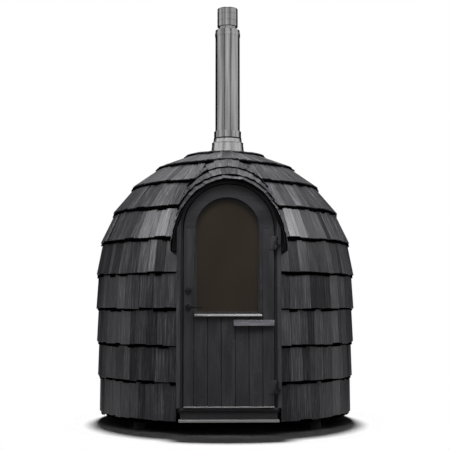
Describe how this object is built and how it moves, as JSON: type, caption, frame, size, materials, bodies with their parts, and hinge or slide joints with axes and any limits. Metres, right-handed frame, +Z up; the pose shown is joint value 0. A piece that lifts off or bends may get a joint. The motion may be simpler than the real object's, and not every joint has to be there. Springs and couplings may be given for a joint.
{
  "type": "igloo sauna",
  "caption": "Round dome-shaped timber sauna clad in shingles, with an arched glazed door under a shingled hood, on two skids, with a metal chimney through the crown.",
  "frame": {"origin": "on the ground below the axis of the dome", "axes": "+Z up, the door faces -Y, +X to the right of a person facing the door"},
  "size_m": [2.4138, 2.4218, 3.902],
  "materials": {
    "stained_shingle": "dark grey stain over split softwood, dull sheen",
    "bare_spruce": "planed and left bare",
    "stained_frame": "dark grey stain over planed timber",
    "weathered_wood": "rough, grey",
    "grey_metal": "dull extruded strip",
    "black_iron": "satin black",
    "stainless": "brushed along the pipe",
    "bronze_glass": "dark bronze tinted, clear"
  },
  "bodies": {
    "cabin": {"shingle_course_1": "stained_shingle", "shingle_course_2": "stained_shingle", "shingle_course_3": "stained_shingle", "shingle_course_4": "stained_shingle", "shingle_course_5": "stained_shingle", "shingle_course_6": "stained_shingle", "shingle_course_7": "stained_shingle", "shingle_course_8": "stained_shingle", "shingle_course_9": "stained_shingle", "shingle_course_10": "stained_shingle", "hood_deck": "stained_shingle", "hood_soffit": "stained_shingle", "hood_course_1": "stained_shingle", "hood_course_2": "stained_shingle", "hood_course_3": "stained_shingle", "shell_segment_1": "bare_spruce", "shell_segment_2": "bare_spruce", "shell_segment_3": "bare_spruce", "shell_segment_4": "bare_spruce", "shell_segment_5": "bare_spruce", "shell_segment_6": "bare_spruce", "shell_segment_7": "bare_spruce", "shell_segment_8": "bare_spruce", "shell_front": "bare_spruce", "crown_ring": "bare_spruce", "cross_beams": "bare_spruce", "floor_deck": "bare_spruce", "reveal_lining": "bare_spruce", "skid_left": "stained_frame", "skid_right": "stained_frame", "jamb_left": "stained_frame", "jamb_right": "stained_frame", "frame_arch": "stained_frame", "casing_boards": "stained_frame", "threshold": "stained_frame", "kick_board": "stained_frame", "sill_ledge": "grey_metal", "hinge_plates": "black_iron", "chimney_flue": "stainless", "chimney_casing": "stainless", "chimney_bands": "stainless", "chimney_flashing": "stainless", "chimney_cowl": "stainless"},
    "door": {"door_stiles": "stained_frame", "window_frame": "stained_frame", "door_panel": "stained_frame", "window_bead": "stained_frame", "window_glass": "bronze_glass", "window_ledge": "grey_metal", "door_batten": "weathered_wood", "door_sweep": "grey_metal", "hinge_knuckles": "black_iron", "lock_set": "black_iron"},
    "lever": {"lever_handle": "black_iron"}
  },
  "joints": [
    {"name": "door_hinge", "type": "hinge", "parent": "cabin", "child": "door", "pos_m": [0.397, -1.18, 1], "axis": [0, 0, 1], "range_deg": [0, 100]},
    {"name": "lever_turn", "type": "hinge", "parent": "door", "child": "lever", "pos_m": [-0.336, -1.13, 1.036], "axis": [0, 1, 0], "range_deg": [0, 40], "stiffness_Nm_per_rad": 1.2, "springref_deg": -20.05}
  ]
}
